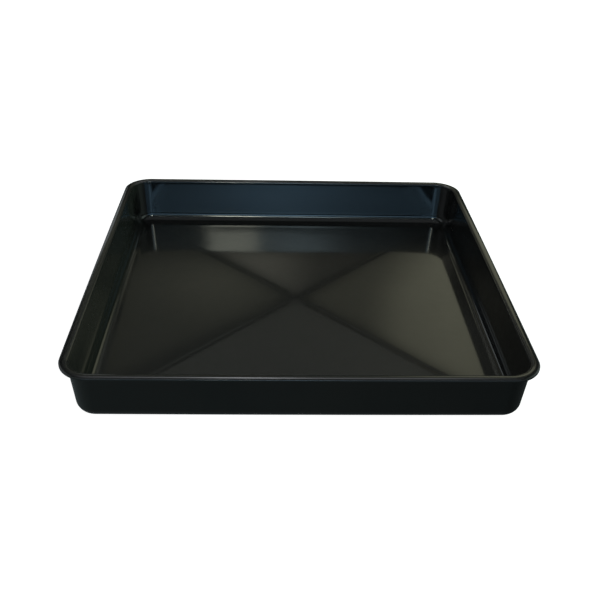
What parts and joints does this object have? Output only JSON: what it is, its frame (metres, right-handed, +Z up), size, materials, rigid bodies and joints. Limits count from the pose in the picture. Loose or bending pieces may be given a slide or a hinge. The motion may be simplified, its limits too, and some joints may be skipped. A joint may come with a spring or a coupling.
{
  "type": "oil drain pan",
  "caption": "Square, shallow, open black plastic tray that catches dripped or drained oil; drafted walls, outward flange with a small lip, near-flat X-creased floor.",
  "frame": {"origin": "middle of the face that the tray stands on, on the ground plane", "axes": "+Z up, out of the open mouth; +X and +Y square to the walls; +Y points away from the side taken as the front, which is the same as the other three"},
  "size_m": [0.6, 0.6, 0.075],
  "materials": {
    "black_plastic": "semi-gloss thermoformed black polyolefin with a fine surface haze"
  },
  "bodies": {
    "root": {"drain_pan": "black_plastic"}
  },
  "joints": []
}
